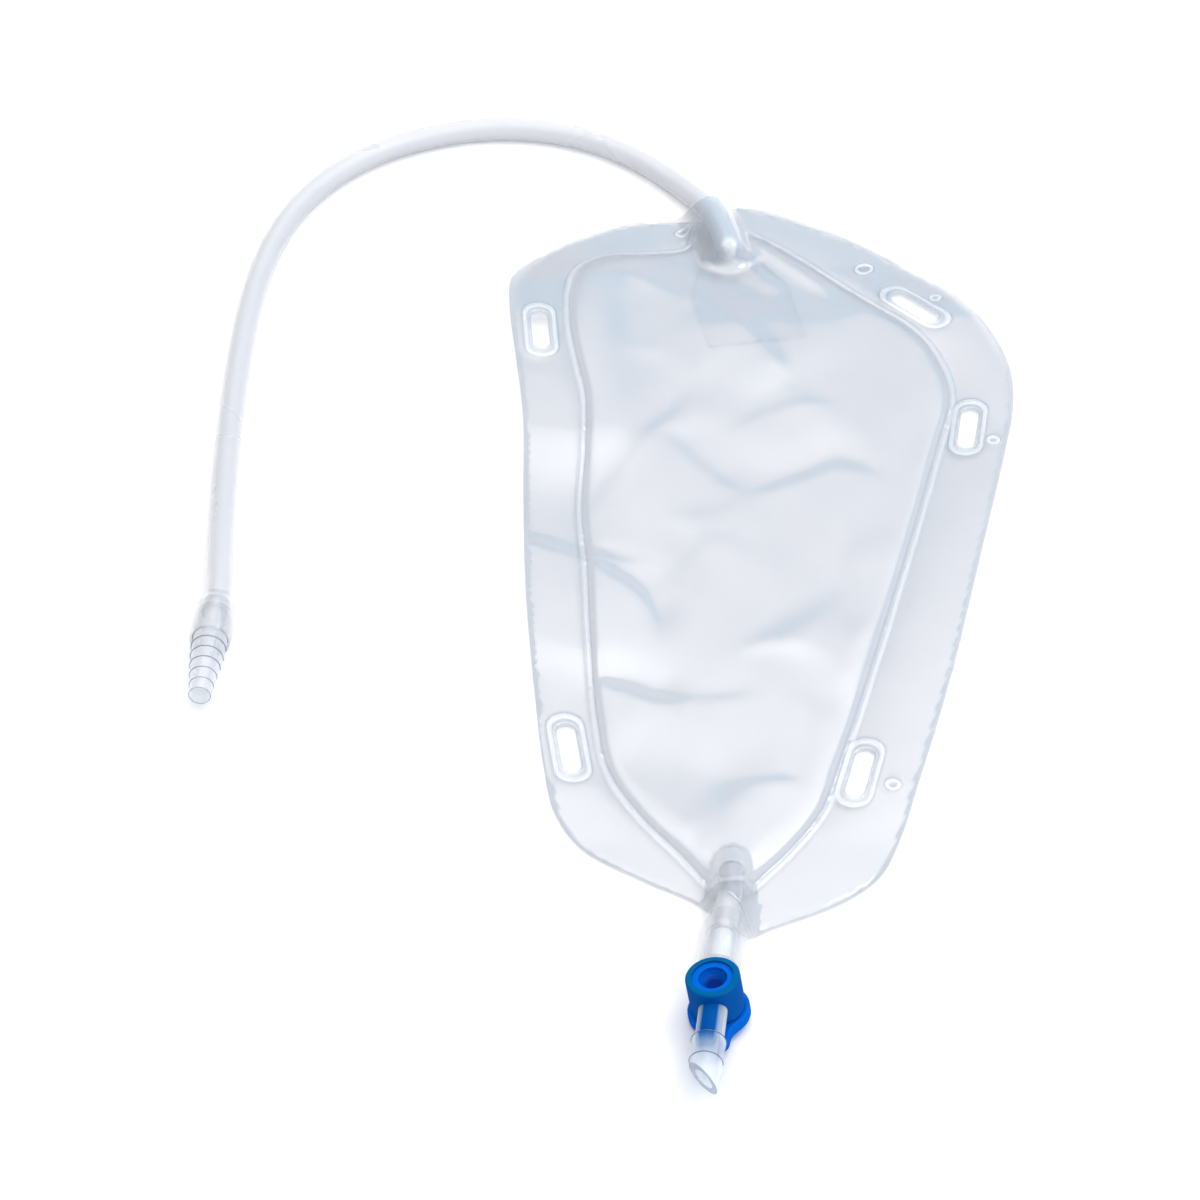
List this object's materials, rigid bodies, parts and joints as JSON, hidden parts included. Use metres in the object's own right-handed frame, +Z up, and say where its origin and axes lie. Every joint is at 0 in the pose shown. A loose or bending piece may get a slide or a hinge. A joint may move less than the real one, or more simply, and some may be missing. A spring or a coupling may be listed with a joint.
{
  "type": "urine drainage bag",
  "caption": "Flat clear film leg bag with strap slots, a curved soft drain hose with a stepped connector, and a turning plug valve at the outlet.",
  "frame": {"origin": "under the middle of the bag with its valve, on the surface it lies on; the free drain hose and its connector are left out of that middle", "axes": "+Y along the bag from the outlet valve to the hose inlet, +X across the bag away from the looped hose, +Z up out of the surface the bag lies on"},
  "size_m": [0.2289, 0.41, 0.0155],
  "materials": {
    "clear_film": "soft clear vinyl film, faintly blue grey, satin",
    "milky_hose": "soft milky clear vinyl hose, smooth",
    "soft_sleeve": "soft moulded vinyl, milky clear",
    "clear_moulding": "hard clear moulded plastic, polished",
    "blue_moulding": "moulded blue plastic, fine satin"
  },
  "bodies": {
    "bag": {"back_film": "clear_film", "front_film": "clear_film", "nonreturn_back_flap": "clear_film", "nonreturn_front_flap": "clear_film", "drain_hose": "milky_hose", "outlet_stub": "milky_hose", "connector_sleeve": "soft_sleeve", "outlet_sleeve": "soft_sleeve", "stepped_connector": "clear_moulding", "valve_body": "clear_moulding"},
    "plug": {"valve_plug": "blue_moulding"}
  },
  "joints": [
    {"name": "valve_turn", "type": "hinge", "parent": "bag", "child": "plug", "pos_m": [-0.0192, -0.1524, 0.009], "axis": [-0.1552, 0.0196, 0.9877], "range_deg": [0, 90]}
  ]
}
